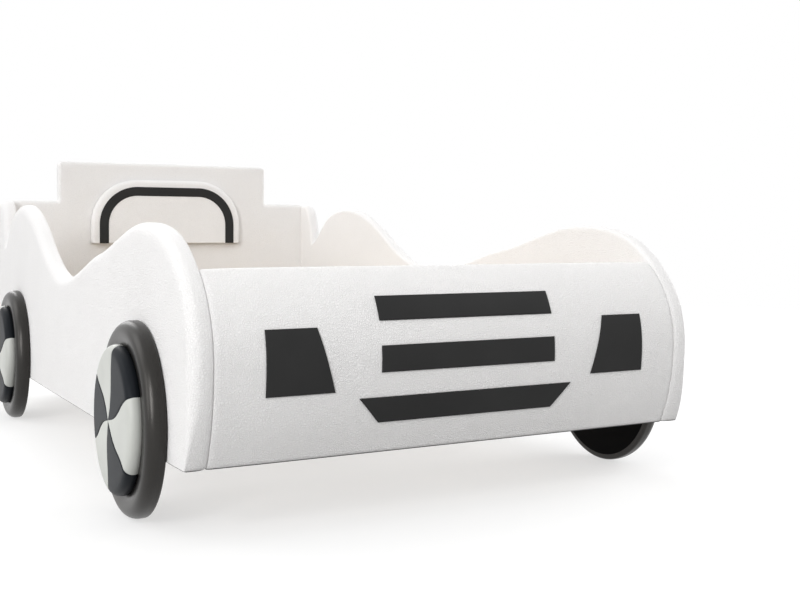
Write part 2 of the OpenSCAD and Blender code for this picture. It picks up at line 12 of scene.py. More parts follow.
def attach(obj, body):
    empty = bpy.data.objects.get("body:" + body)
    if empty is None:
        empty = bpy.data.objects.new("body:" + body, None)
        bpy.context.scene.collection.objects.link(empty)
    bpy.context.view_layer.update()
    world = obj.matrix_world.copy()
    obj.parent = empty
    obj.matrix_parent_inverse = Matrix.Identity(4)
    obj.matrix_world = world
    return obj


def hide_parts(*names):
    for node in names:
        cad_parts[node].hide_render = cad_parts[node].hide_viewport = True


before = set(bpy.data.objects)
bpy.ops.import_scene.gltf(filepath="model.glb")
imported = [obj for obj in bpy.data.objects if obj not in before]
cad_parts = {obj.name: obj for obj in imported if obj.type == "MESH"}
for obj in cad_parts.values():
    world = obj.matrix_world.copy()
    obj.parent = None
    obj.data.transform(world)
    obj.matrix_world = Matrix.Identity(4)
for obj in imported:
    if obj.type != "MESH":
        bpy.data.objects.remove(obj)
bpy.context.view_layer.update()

# Sizes of the bed. Places along it are counted from the tip of the nose, heights from the floor
MID = 0.8485  # place of the frame's origin
HALF = 0.41  # middle of the bed to the inner face of a side
BODY = 1.7  # length of the sides
GAP = 0.106  # height of the covers' lower edge
TOP = 0.525  # height of the sides
SIDE_T = 0.036
POST_R = 0.021
NOTCH_R = 0.002
END = HALF + 0.001  # the nose and the headboard press a little into the sides
NOSE_Z = 0.25  # height of the foremost line, where the nose's two radii meet
NOSE_LOW_R = 0.32
NOSE_UP_R = 0.17
NOSE_T = 0.036
NOSE_TOP_Z = 0.386
HEAD_FRONT = 1.662
HEAD_T = 0.038
HEAD_STEP = 0.528
HEAD_TOP = 0.637
HEAD_HALF = 0.295
HEAD_R = 0.011
HEAD_STEP_R = 0.004
PAD_W = 0.422
PAD_LOW = 0.413
PAD_HIGH = 0.59
PAD_T = 0.02
PAD_R = 0.125
BAND_MARGIN = 0.02
BAND_W = 0.025
BAR_H = 0.04
BAR_PITCH = 0.077
BAR_HALF = 0.156
LOW_BAR_SPREAD = 0.035  # how much further the low bar's head reaches on each side
LAMP_LOW = 0.205
LAMP_HIGH = 0.3
LAMP_INNER = (0.23, 0.257)  # at the lamp's foot and at its head
LAMP_OUTER = (0.337, 0.337)
WHEEL_R = 0.151
TYRE_T = 0.03
HUB_R = 0.115
HUB_T = 0.018
HUB_SUNK = 0.0035  # how far the hub sits in the tyre
HUB_FLAT = 0.102  # radius inside its rolled rim
HUB_CROWN = 0.0022
SEAM_START, SEAM_SWIRL = 10, 14  # degrees over the forward direction at the middle, and further at the rim
SEAM_DEPTH = SEAM_W = 0.0012
TYRE_BACK = 0.0003  # its distance from the side
AXLES = {"front": 0.253, "rear": 1.352}
SIDES = (("left", -1), ("right", 1))

# Soft edges of the padding, as (depth across it, width in its plane)
SIDE_OUTER = (0.018, 0.02)
SIDE_INNER = (0.009, 0.009)
SIDE_AT_HEM = (0.003, 0.004)
HEM_REACH = 0.12  # height over the hem at which a side's edge is whole
SIDE_AT_NOSE = (0.014, 0.0045)
JOINT = (0.12, 0.365)  # length and height of the place where a side meets the nose
JOINT_BLEND = (0.05, 0.03)  # and the distances over which its edge changes
HEAD_EDGE = (0.009, 0.012)
PAD_EDGE = (0.011, 0.013)
HEM = (0.0018, 0.002)
NOSE_EDGE = (0.0036, 0.01)

# How far the padding falls towards its edges and from where, and how uneven it is
BOARD_FALL = 0.0012
PAD_FALL = 0.0008
FALL_REACH = 0.075
NOSE_FALL_REACH = 0.07
UNEVEN = 0.0003
PAD_UNEVEN = 0.00025
BROAD, BROAD_SHARE = 0.055, 0.7  # size and strength of its broad bumps
SMALL, SMALL_SHARE = 0.02, 0.45
CALM_REACH = 0.01  # it is even within this distance of an edge
NOSE_CALM_REACH = 0.02

# Knots of the wing line: place and height as shares of the length and of the cover's height, direction in
# degrees, and the reach of the curve before and after the knot as shares of the length
WING = [
    (0.168, 0.829, 0, 0.07, 0.048), (0.3334, 0.707, -7, 0.0525, 0.0494),
    (0.5088, 0.579, 0, 0.0589, 0.0451), (0.6509, 0.768, 30.3, 0.0493, 0.0489),
    (0.7939, 0.957, 0, 0.0471, 0.0518), (0.892, 0.836, -38.6, 0.0274, 0.01), (0.932, 0.728, -14, 0.012, 0)]
NOSE_LEAVE, NOSE_REACH = 0.6, 0.057  # height at which the line leaves the nose, and its reach there
NOTCH = (0.932, 0.728, 80, 0, 0.0412)
POST = (0.9706, 1, 0, 0.0224, 0)

# Mesh of a padded board: rings of points at these shares of its soft edge, thinned out from a share on, and
# at these distances past it. A ring's point stays where it keeps this share of its distance from the outline.
# A grid of even triangles lies inside the rings
RINGS = (0.012, 0.035, 0.07, 0.115, 0.17, 0.24, 0.32, 0.42, 0.56, 0.76, 1.0)
RING_THIN = 0.6
RINGS_PAST = (0.008, 0.018, 0.03)
RING_STAYS = 0.985
GRID, GRID_ROW = 0.0125, 0.866  # step along a row, and the rows' distance as a share of it
GRID_CLEAR = 0.6  # its distance from the last ring, as a share of the step
ON_LINE = 1e-6
NOSE_ENDS = (0.018, 0.027, 0.038, 0.051, 0.064)  # sections between the nose's soft edge and its even ones
NOSE_STEPS = 66
WHEEL_STEPS = 128
SECTOR_ENDS = (0.0, 0.006, 0.014, 0.03, 0.055)  # angles from a hub sector's seams, before its even steps
SECTOR_STEPS = 12

# Sewn-on dark patches: distances from their edge, their heights over the skin there, and their back's depth
PATCH_EDGE = (0.0, 0.0003, 0.0009, 0.002)
PATCH_RISE = (0.0, 0.0009, 0.0014, 0.0015)
PATCH_BACK = 0.0004
PATCH_OVER_NOSE = 0.0008
BAND_IN_PAD = 0.0006


# Materials
class Nodes:
    """Short way to build a material's node tree. A node's input is given a value or another node's output."""

    def __init__(self, name):
        self.mat = bpy.data.materials.new(name)
        self.mat.use_nodes = True
        self.tree = self.mat.node_tree
        self.shader = next(n for n in self.tree.nodes if n.type == "BSDF_PRINCIPLED")
        self.coords = self.tree.nodes.new("ShaderNodeTexCoord").outputs["Object"]

    def new(self, kind, inputs=None, **options):
        """A node with its inputs and options set."""
        n = self.tree.nodes.new("ShaderNode" + kind)
        for k, v in options.items():
            setattr(n, k, v)
        for k, v in (inputs or {}).items():
            if hasattr(v, "is_output"):
                self.tree.links.new(v, n.inputs[k])
            else:
                n.inputs[k].default_value = v
        return n

    def scaled(self, x, y, z):
        """The object's coordinates, stretched."""
        return self.new("Mapping", {"Vector": self.coords, "Scale": (x, y, z)}).outputs[0]

    def noise(self, scale, detail=3.0, rough=0.55, vector=None):
        return self.new("TexNoise", {"Vector": vector or self.coords, "Scale": scale, "Detail": detail,
                                     "Roughness": rough}).outputs["Fac"]

    def cells(self, scale, vector=None, feature="F1"):
        given = {"Vector": vector or self.coords, "Scale": scale}
        return self.new("TexVoronoi", given, feature=feature).outputs

    def ramp(self, fac, stops):
        """Each stop is (place, grey or colour)."""
        n = self.new("ValToRGB", {"Fac": fac})
        while len(n.color_ramp.elements) < len(stops):
            n.color_ramp.elements.new(0.5)
        for e, (at, value) in zip(n.color_ramp.elements, stops):
            e.position = at
            e.color = (*value, 1) if isinstance(value, (tuple, list)) else (value, value, value, 1)
        return n.outputs["Color"]

    def math(self, op, a, b):
        return self.new("Math", {0: a, 1: b}, operation=op).outputs[0]

    def mix(self, fac, a, b):
        """Colour between a and b."""
        a, b = ((*v, 1) if isinstance(v, tuple) else v for v in (a, b))
        return self.new("Mix", {0: fac, 6: a, 7: b}, data_type="RGBA").outputs[2]

    def out(self, color, rough, **values):
        """The shader's colour and roughness, and its other inputs by name."""
        self.tree.links.new(color, self.shader.inputs["Base Color"])
        values["Roughness"] = rough
        for k, v in values.items():
            socket = self.shader.inputs[k.replace("_", " ")]
            if hasattr(v, "is_output"):
                self.tree.links.new(v, socket)
            else:
                socket.default_value = v

    def bump(self, *layers):
        """Each layer is (height, distance in metres, strength)."""
        normal = None
        for height, distance, strength in layers:
            given = {"Height": height, "Distance": distance, "Strength": strength}
            if normal:
                given["Normal"] = normal
            normal = self.new("Bump", given).outputs[0]
        self.tree.links.new(normal, self.shader.inputs["Normal"])


HEM_SHADE = (0.16, 0.16, 0.16)  # painted shade: dark colour of a thin band along the covers' lower hem, where it turns down from the light
HEM_SHADE_TOP = (GAP + 0.0012, GAP + 0.0018)  # heights between which the painted hem shade fades into the leather


def leather(name, color, dark, rough, grain, depth):
    """Eco-leather: pebbles of about `grain` metres with painted shade in their valleys towards `dark`, a
    faint change of tone, soft creases, and a band of painted shade along the lower hem.
    """
    m = Nodes(name)
    stray = m.new("TexNoise", {"Vector": m.coords, "Scale": 0.35 / grain, "Detail": 1.0}).outputs["Color"]
    shift = m.new("VectorMath", {0: stray, 1: (grain * 0.9,) * 3}, operation="MULTIPLY").outputs[0]
    bent = m.new("VectorMath", {0: m.coords, 1: shift}, operation="ADD").outputs[0]
    cells = m.cells(1 / grain, bent, "DISTANCE_TO_EDGE")["Distance"]
    pebble = m.ramp(cells, [(0.0, 0.0), (0.12, 0.62), (0.4, 1.0)])
    fine = m.noise(1.7 / grain, 4.0, 0.6)
    shade = m.ramp(m.noise(9.0, 2.0, 0.5), [(0.3, tuple(c * 0.98 for c in color)), (0.7, color)])
    # Painted shade: the colour turns towards dark in the pebbles' valleys
    base = m.mix(m.ramp(pebble, [(0.0, 0.35), (0.5, 0.0)]), shade, dark)
    # Painted shade along the lower hem: the colour turns dark below these heights
    height = m.new("SeparateXYZ", {0: m.coords}).outputs["Z"]
    hem_shade = m.new("MapRange", {"Value": height, "From Min": HEM_SHADE_TOP[0], "From Max": HEM_SHADE_TOP[1],
                                "To Min": 1.0, "To Max": 0.0}).outputs[0]
    grit = m.math("ADD", m.math("MULTIPLY", fine, 0.5), m.math("MULTIPLY", pebble, 0.5))
    m.out(m.mix(hem_shade, base, HEM_SHADE), m.ramp(grit, [(0.2, rough + 0.1), (0.8, rough - 0.04)]),
          Specular_IOR_Level=0.12)
    creases = m.ramp(m.noise(26.0, 2.0, 0.5), [(0.3, 0.0), (0.7, 1.0)])
    m.bump((creases, 0.0006, 0.2), (pebble, depth, 0.85), (fine, depth * 0.5, 0.5))
    return m.mat


def smooth_leather(name, color, rough, shine, tint=(1.0, 1.0, 1.0)):
    """Smooth eco-leather with a very fine grain. Its gloss has that tint."""
    grain = 0.0009
    m = Nodes(name)
    fine = m.noise(1 / grain, 3.0, 0.6)
    cells = m.cells(0.8 / grain, feature="SMOOTH_F1")["Distance"]
    broad = m.noise(7.0, 3.0, 0.5)
    m.out(m.ramp(broad, [(0.3, tuple(c * 0.88 for c in color)), (0.7, tuple(c * 1.1 for c in color))]),
          m.ramp(fine, [(0.3, rough - 0.04), (0.7, rough + 0.06)]),
          Specular_IOR_Level=shine, Specular_Tint=(*tint, 1.0))
    m.bump((broad, 0.0012, 0.25), (cells, 0.00012, 0.6), (fine, 0.0001, 0.5))
    return m.mat


def wood(name, light, dark, along, ring, knots=False):
    """Planed wood with its grain along one axis. A higher ring makes its rings finer."""
    m = Nodes(name)
    stretch = [1.0, 1.0, 1.0]
    stretch["XYZ".index(along)] = 0.06
    v = m.scaled(*stretch)
    warp = m.noise(ring * 0.35, 3.0, 0.6, v)
    band = m.new("TexWave", {"Vector": v, "Scale": ring, "Distortion": 5.0, "Detail": 3.0,
                             "Detail Scale": 1.5, "Detail Roughness": 0.6},
                 wave_type="BANDS", bands_direction={"X": "Y", "Y": "X", "Z": "X"}[along]).outputs["Fac"]
    pores = m.noise(ring * 9, 4.0, 0.7, v)
    tone = m.mix(m.math("MULTIPLY", band, m.math("MULTIPLY", warp, 1.3)), light, dark)
    tone = m.mix(m.ramp(pores, [(0.35, 0.3), (0.5, 0.0)]), tone, tuple(c * 0.7 for c in dark))
    if knots:
        spot = m.cells(4.0, m.scaled(*[1.6 if s == 1 else 0.8 for s in stretch]))["Distance"]
        tone = m.mix(m.ramp(spot, [(0.02, 0.8), (0.06, 0.0)]), tone, tuple(c * 0.45 for c in dark))
    m.out(tone, m.ramp(pores, [(0.3, 0.67), (0.7, 0.55)]))
    m.bump((pores, 0.00025, 0.5), (band, 0.0002, 0.3))
    return m.mat


def chips(name):
    """Raw particle board: pressed flakes in several tones."""
    m = Nodes(name)
    flakes = m.cells(260.0, m.scaled(1.0, 1.0, 2.2))
    tone = m.ramp(m.new("SeparateColor", {0: flakes["Color"]}).outputs[0],
                  [(0.1, (0.42, 0.28, 0.15)), (0.45, (0.62, 0.46, 0.28)), (0.9, (0.74, 0.6, 0.41))])
    m.out(tone, 0.85)
    m.bump((flakes["Distance"], 0.0004, 0.6), (m.noise(900.0), 0.0003, 0.5))
    return m.mat


def zinc(name):
    """Zinc-plated steel with fine brush marks."""
    m = Nodes(name)
    brush = m.noise(900.0, 3.0, 0.6, m.scaled(1.0, 1.0, 0.08))
    m.out(m.ramp(m.cells(220.0)["Distance"], [(0.1, (0.5, 0.53, 0.56)), (0.7, (0.66, 0.68, 0.7))]),
          m.ramp(brush, [(0.3, 0.28), (0.7, 0.42)]), Metallic=1.0)
    m.bump((brush, 0.00005, 0.5))
    return m.mat


def plastic(name, color, shine=0.5):
    """Matte plastic, or a board's plastic facing."""
    m = Nodes(name)
    grain = m.noise(1400.0, 2.0, 0.5)
    m.out(m.ramp(m.noise(40.0), [(0.3, color), (0.7, tuple(c * 1.25 for c in color))]),
          m.ramp(grain, [(0.3, 0.48), (0.7, 0.6)]), Specular_IOR_Level=shine)
    m.bump((grain, 0.00008, 0.5))
    return m.mat


# The second colour is the painted shade in the grain's valleys
WHITE = leather("white_leather", (0.9, 0.89, 0.885), (0.76, 0.75, 0.745),
                rough=0.62, grain=0.0036, depth=0.0008)
DARK = smooth_leather("dark_leather", (0.028, 0.028, 0.028), rough=0.5, shine=0.1)
TYRE = smooth_leather("tyre_leather", (0.0082, 0.0076, 0.0069), rough=0.3, shine=0.44,
                      tint=(1.0, 0.965, 0.925))
HUB_LIGHT = smooth_leather("hub_light_leather", (0.53, 0.54, 0.51), rough=0.42, shine=0.4)
HUB_DARK = smooth_leather("hub_dark_leather", (0.009, 0.011, 0.014), rough=0.42, shine=0.1)
PINE = ((0.79, 0.63, 0.43), (0.61, 0.42, 0.25))
SLAT_BEVEL = 0.002
PINE_BEVEL = 0.0015
SLATS = wood("slat_plywood", (0.78, 0.65, 0.47), (0.6, 0.45, 0.29), "X", ring=9.0)
PINE_Y = wood("pine_along", *PINE, "Y", ring=16.0, knots=True)
PINE_X = wood("pine_across", *PINE, "X", ring=16.0, knots=True)
PINE_Z = wood("pine_upright", *PINE, "Z", ring=16.0)
BENT_PLY = wood("bent_plywood", (0.75, 0.57, 0.36), (0.55, 0.38, 0.2), "X", ring=12.0)
CHIP = chips("particle_board")
BLACK_BOARD = plastic("black_facing", (0.002, 0.002, 0.002), shine=0.03)
ZINC = zinc("zinc_plate")
GLIDE = plastic("glide_plastic", (0.012, 0.012, 0.013))


# Outlines
def bezier(a, b, c, d, n, first=False):
    """Points at n even steps of a curve, with or without its first one."""
    a, b, c, d = (np.array(p) for p in (a, b, c, d))
    out = []
    for i in range(0 if first else 1, n + 1):
        t = i / n
        u = 1 - t
        out.append(a * u ** 3 + 3 * b * u * u * t + 3 * c * u * t * t + d * t ** 3)
    return out


def wing(a, b, n, start=None):
    """Points of the wing line between two knots, after the first. It may start at another place."""
    ka, kb = (np.array([k[0] * BODY, GAP + k[1] * (TOP - GAP)]) for k in (a, b))
    if start is not None:
        ka = start
    da, db = (np.array([math.cos(math.radians(k[2])), math.sin(math.radians(k[2]))]) for k in (a, b))
    return bezier(ka, ka + a[4] * BODY * da, kb - b[3] * BODY * db, kb, n)


def nose_at(a, depth=0.0):
    """Point (place, height) of the nose at an angle over its foremost line, so deep under its skin."""
    r = NOSE_LOW_R if a < 0 else NOSE_UP_R
    return np.array([r - (r - depth) * math.cos(a), NOSE_Z + (r - depth) * math.sin(a)])


def nose_angle(z, depth=0.0):
    """Angle over the foremost line at which the nose has that height."""
    r = (NOSE_LOW_R if z < NOSE_Z else NOSE_UP_R) - depth
    return math.asin(max(-1, min(1, (z - NOSE_Z) / r)))


def fillet(points, i, r, n):
    """The outline with its corner i rounded in n steps."""
    p, a, b = points[i], points[i - 1], points[(i + 1) % len(points)]
    u, v = (a - p) / np.linalg.norm(a - p), (b - p) / np.linalg.norm(b - p)
    half = math.acos(max(-1, min(1, float(u @ v)))) / 2
    d = r / math.tan(half)
    c = p + (u + v) / np.linalg.norm(u + v) * r / math.sin(half)
    s, e = p + u * d - c, p + v * d - c
    a0, a1 = math.atan2(s[1], s[0]), math.atan2(e[1], e[0])
    turn = (a1 - a0 + math.pi) % (2 * math.pi) - math.pi
    arc = [c + r * np.array([math.cos(a0 + turn * k / n), math.sin(a0 + turn * k / n)]) for k in range(n + 1)]
    return points[:i] + arc + points[i + 1:]


def side_outline():
    """Outline of a side: from its rear foot up the post, along the wing line and down the nose."""
    low, leave = nose_angle(GAP), nose_angle(GAP + NOSE_LEAVE * (TOP - GAP))
    line = [nose_at(low - low * i / 22) for i in range(23)] + [nose_at(leave * i / 20) for i in range(1, 21)]
    line += wing((0, 0, 90 - math.degrees(leave), 0, NOSE_REACH), WING[0], 22, start=line[-1])
    for a, b in zip(WING, WING[1:]):
        line += wing(a, b, 22)
    notch = len(line) - 1
    line += wing(NOTCH, POST, 16)
    line += [np.array([BODY - POST_R + POST_R * math.sin(a), TOP - POST_R + POST_R * math.cos(a)])
             for a in (math.pi / 2 * i / 8 for i in range(9))]
    line.append(np.array([BODY, GAP]))
    return np.array(fillet(line, notch, NOTCH_R, 3)[::-1])


def head_outline():
    """Outline of the headboard, whose middle part is raised."""
    p = [(-END, GAP), (END, GAP), (END, HEAD_STEP), (HEAD_HALF, HEAD_STEP), (HEAD_HALF, HEAD_TOP),
         (-HEAD_HALF, HEAD_TOP), (-HEAD_HALF, HEAD_STEP), (-END, HEAD_STEP)]
    p = [np.array(q) for q in p]
    for i, r in ((6, HEAD_STEP_R), (5, HEAD_R), (4, HEAD_R), (3, HEAD_STEP_R)):
        p = fillet(p, i, r, 6)
    return np.array(p)


def arch(inset, n=20):
    """Upper line of the window pad, from right to left, inside its edge by that much."""
    h, r, top = PAD_W / 2 - inset, PAD_R - inset, PAD_HIGH - inset
    right = [np.array([h - r + r * math.cos(a), top - r + r * math.sin(a)])
             for a in (math.pi / 2 * i / n for i in range(n + 1))]
    left = [np.array([-h + r + r * math.cos(a), top - r + r * math.sin(a)])
            for a in (math.pi / 2 + math.pi / 2 * i / n for i in range(n + 1))]
    return right + left


def pad_outline():
    """Outline of the window pad: an arch with a flat foot."""
    return np.array([(-PAD_W / 2, PAD_LOW), (PAD_W / 2, PAD_LOW)] + arch(0))


def spaced(outline, step):
    """A closed outline with points at most step apart; its own points stay."""
    out = []
    for a, b in zip(outline, np.roll(outline, -1, axis=0)):
        n = max(1, math.ceil(np.linalg.norm(b - a) / step))
        out += [a + (b - a) * i / n for i in range(n)]
    return np.array(out)


def distance(points, a, b):
    """Distance of each point to the nearest of the segments from a to b."""
    out = np.empty(len(points))
    d = b - a
    length = np.maximum((d ** 2).sum(1), 1e-18)
    for i in range(0, len(points), 1500):
        q = points[i:i + 1500, None, :] - a[None]
        t = np.clip((q * d[None]).sum(2) / length[None], 0, 1)
        out[i:i + 1500] = np.linalg.norm(q - t[..., None] * d[None], axis=2).min(1)
    return out


def inside(points, a, b):
    """Which points lie inside the closed line of the segments from a to b."""
    out = np.zeros(len(points), bool)
    for p, q in zip(a, b):
        hit = (p[1] > points[:, 1]) != (q[1] > points[:, 1])
        if hit.any():
            out ^= hit & (points[:, 0] < p[0] + (points[:, 1] - p[1]) * (q[0] - p[0]) / (q[1] - p[1]))
    return out


def drop(d, depth, width):
    """Depth of a soft edge at a distance from it."""
    t = np.clip(1 - d / width, 0, 1)
    return depth * (1 - np.sqrt(np.maximum(0, 1 - t * t)))


def ease(t):
    """0 to 1 with soft ends."""
    t = np.clip(t, 0, 1)
    return t * t * (3 - 2 * t)


def wave(points, size, seed):
    """Smooth noise from -1 to 1 at points of the plane, with features of about `size` metres."""
    return np.array([noise.noise(Vector((p[0] / size + seed, p[1] / size - seed, seed * 0.37)))
                     for p in points])


# Meshes
def piece(name, bm, material, node):
    """A new piece on the root body that stands for a CAD node."""
    bmesh.ops.recalc_face_normals(bm, faces=bm.faces)
    for f in bm.faces:
        f.smooth = True
    mesh = bpy.data.meshes.new(name)
    bm.to_mesh(mesh)
    bm.free()
    mesh.materials.append(material)
    o = bpy.data.objects.new(name, mesh)
    bpy.context.scene.collection.objects.link(o)
    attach(o, "root")
    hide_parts(node)
    return o


def quads(bm, rows, closed=False):
    """Quads between rows of vertices; closed joins the last row to the first."""
    for a, b in list(zip(rows, rows[1:])) + ([(rows[-1], rows[0])] if closed else []):
        for i in range(len(a) - 1):
            bm.faces.new([a[i], a[i + 1], b[i + 1], b[i]])


def triangulated(outline, width):
    """Points, faces and rim of an outline's inside, with rings of points along a soft edge of that width."""
    n = len(outline)
    after = np.roll(outline, -1, axis=0)
    u = outline - np.roll(outline, 1, axis=0)
    u /= np.linalg.norm(u, axis=1)[:, None]
    v = after - outline
    v /= np.linalg.norm(v, axis=1)[:, None]
    nu, nv = np.stack([-u[:, 1], u[:, 0]], 1), np.stack([-v[:, 1], v[:, 0]], 1)
    miter = (nu + nv) / (1 + (nu * nv).sum(1))[:, None]
    points = [outline]
    steps = [width * k for k in RINGS] + [width + d for d in RINGS_PAST]
    for d in steps:
        p = outline + miter * d
        keep = distance(p, outline, after) > d * RING_STAYS
        if d >= width * RING_THIN:
            keep[1::2] = False
        points.append(p[keep])
    low, high = outline.min(0), outline.max(0)
    gx, gy = np.meshgrid(np.arange(low[0], high[0], GRID), np.arange(low[1], high[1], GRID * GRID_ROW))
    gx[1::2] += GRID / 2
    g = np.stack([gx.ravel(), gy.ravel()], 1)
    g = g[inside(g, outline, after)]
    points.append(g[distance(g, outline, after) > steps[-1] + GRID * GRID_CLEAR])
    border = [(i, (i + 1) % n) for i in range(n)]
    points = [Vector(p) for p in np.vstack(points)]
    verts, _, faces, sources = delaunay_2d_cdt(points, border, [], 1, ON_LINE)[:4]
    place = {}
    for i, ids in enumerate(sources):
        for k in ids:
            place[k] = i
    return np.array([(p.x, p.y) for p in verts]), faces, [place[i] for i in range(n)]


def padded_slab(name, node, outline, place, t, edges, hem, fall, seed, at_hem=None, at_joint=None,
                square_x=None, uneven=UNEVEN):
    """Padded board of thickness t. place(point, w) is the place in space of a point of the outline's plane,
    w off the board's middle. edges are the soft edges of its front and its back, and a back without one is
    flat. hem is the height of its straight lower edge, fall how far its faces fall towards the edges. Its
    edges turn into at_hem near the hem, and its back's edge into at_joint where it meets the nose. The ends
    at square_x are square."""
    after = np.roll(outline, -1, axis=0)
    on_hem = (np.abs(outline[:, 1] - hem) < ON_LINE) & (np.abs(after[:, 1] - hem) < ON_LINE)
    rounded = ~on_hem
    if square_x:
        rounded &= ~((np.abs(np.abs(outline[:, 0]) - square_x) < ON_LINE)
                     & (np.abs(np.abs(after[:, 0]) - square_x) < ON_LINE))
    flat, faces, rim = triangulated(outline, max(e[1] for e in edges if e))
    soft = distance(flat, outline[rounded], after[rounded])
    near_hem = distance(flat, outline[on_hem], after[on_hem])
    loose = ease(soft / CALM_REACH)
    heights = []
    for face, edge in enumerate(edges):
        if not edge:
            heights.append(np.full(len(flat), t / 2))
            continue
        depth, width = np.full(len(flat), edge[0]), np.full(len(flat), edge[1])
        if at_hem:
            k = ease((flat[:, 1] - hem) / HEM_REACH)
            depth, width = at_hem[0] + (depth - at_hem[0]) * k, at_hem[1] + (width - at_hem[1]) * k
        if at_joint and face == 1:
            k = ((1 - ease((flat[:, 0] - JOINT[0]) / JOINT_BLEND[0]))
                 * (1 - ease((flat[:, 1] - JOINT[1]) / JOINT_BLEND[1])))
            depth, width = depth + (at_joint[0] - depth) * k, width + (at_joint[1] - width) * k
        sunk = drop(soft, depth, width) + fall * (1 - ease(soft / FALL_REACH)) + drop(near_hem, *HEM)
        s = seed + 11 * face
        bumps = BROAD_SHARE * wave(flat, BROAD, s) + SMALL_SHARE * wave(flat, SMALL, s + 5)
        heights.append(t / 2 - sunk + (uneven * loose * bumps - uneven) * loose)
    bm = bmesh.new()
    front = [bm.verts.new(place(p, h)) for p, h in zip(flat, heights[0])]
    back = [bm.verts.new(place(p, -h)) for p, h in zip(flat, heights[1])]
    for f in faces:
        bm.faces.new([front[i] for i in f])
        bm.faces.new([back[i] for i in reversed(f)])
    for a, b in zip(rim, rim[1:] + rim[:1]):
        bm.faces.new([front[a], back[a], back[b], front[b]])
    o = piece(name, bm, WHITE, node)


def patch(name, rows, lift, node):
    """Smooth dark patch of leather with soft edges: rows of points from one long edge to the other. lift
    gives a point's place in space for a height over the skin."""
    bm = bmesh.new()
    m, n = len(rows), len(rows[0])
    top = [[bm.verts.new(lift(p, PATCH_RISE[min(i, n - 1 - i, j, m - 1 - j, 3)])) for i, p in enumerate(row)]
           for j, row in enumerate(rows)]
    low = [[bm.verts.new(lift(p, -PATCH_BACK)) for p in row] for row in rows]
    for sheet in (top, low, [top[0], low[0]], [top[-1], low[-1]], [[r[0] for r in top], [r[0] for r in low]],
                  [[r[-1] for r in top], [r[-1] for r in low]]):
        quads(bm, sheet)
    piece(name, bm, DARK, node)


# Sides, headboard and window pad
for side, sign in SIDES:
    padded_slab("padded_side_" + side, "side_cover_" + side, spaced(side_outline(), step=0.007),
                lambda p, w, s=sign: (s * (HALF + SIDE_T / 2 + w), p[0] - MID, p[1]),
                SIDE_T, [SIDE_OUTER, SIDE_INNER], hem=GAP, fall=BOARD_FALL, seed=3.0 if sign < 0 else 40.0,
                at_hem=SIDE_AT_HEM, at_joint=SIDE_AT_NOSE)
padded_slab("padded_headboard", "head_cover", spaced(head_outline(), step=0.008),
            lambda p, w: (p[0], HEAD_FRONT + HEAD_T / 2 - w - MID, p[1]),
            HEAD_T, [HEAD_EDGE, HEAD_EDGE], hem=GAP, fall=BOARD_FALL, seed=70.0, square_x=END)
padded_slab("window_cushion", "window_pad", spaced(pad_outline(), step=0.006),
            lambda p, w: (p[0], HEAD_FRONT - PAD_T / 2 - w - MID, p[1]),
            PAD_T, [PAD_EDGE, None], hem=PAD_LOW, fall=PAD_FALL, seed=90.0, uneven=PAD_UNEVEN)


# Dark band on the window pad
def band_line(inset):
    """Line up one leg of the band, over its arch and down the other, inside the pad's edge by that much."""
    line = arch(inset, 24)
    rise = line[0][1] - PAD_LOW
    foot = [np.array([line[0][0], PAD_LOW + k * rise]) for k in (0.0, 0.003, 0.01, 0.03, 0.2, 0.4, 0.6, 0.8)]
    return foot + line + [q * np.array([-1, 1]) for q in reversed(foot)]


across = [*PATCH_EDGE, 0.007, 0.0125, 0.018] + [BAND_W - d for d in reversed(PATCH_EDGE)]
patch("window_trim", [band_line(BAND_MARGIN + d) for d in across],
      lambda p, h: (p[0], HEAD_FRONT - PAD_T - MID + BAND_IN_PAD - h, p[1]), "window_band")


# Nose: the bent panel's section is drawn in towards its two ends
def nose_section(e):
    """Closed section of the nose panel, drawn in by e: up its front, round its lip and down its back."""
    low, back = nose_angle(GAP, e), nose_angle(GAP, NOSE_T - e)
    lip = math.asin((NOSE_TOP_Z - NOSE_T / 2 - NOSE_Z) / (NOSE_UP_R - NOSE_T / 2))
    centre, r = nose_at(lip, NOSE_T / 2), NOSE_T / 2 - e
    out = [nose_at(low - low * i / 24, e) for i in range(25)]
    out += [nose_at(lip * i / 22, e) for i in range(1, 22)]
    for i in range(17):
        a = math.pi - lip - math.pi * i / 16
        out.append(centre + r * np.array([math.cos(a), math.sin(a)]))
    out += [nose_at(lip * i / 22, NOSE_T - e) for i in range(21, 0, -1)]
    out += [nose_at(back - back * i / 24, NOSE_T - e) for i in range(24, -1, -1)]
    return out


def nose_dent(x, place, z):
    """How far the nose's skin lies under its section for its unevenness."""
    broad = noise.noise(Vector((x / BROAD, z / BROAD, place / BROAD)))
    small = noise.noise(Vector((x / SMALL, z / SMALL, place / SMALL + 7)))
    calm = float(ease((END - abs(x)) / NOSE_CALM_REACH)) * float(ease((z - GAP) / NOSE_CALM_REACH))
    return UNEVEN * (1 - BROAD_SHARE * broad - SMALL_SHARE * small) * calm


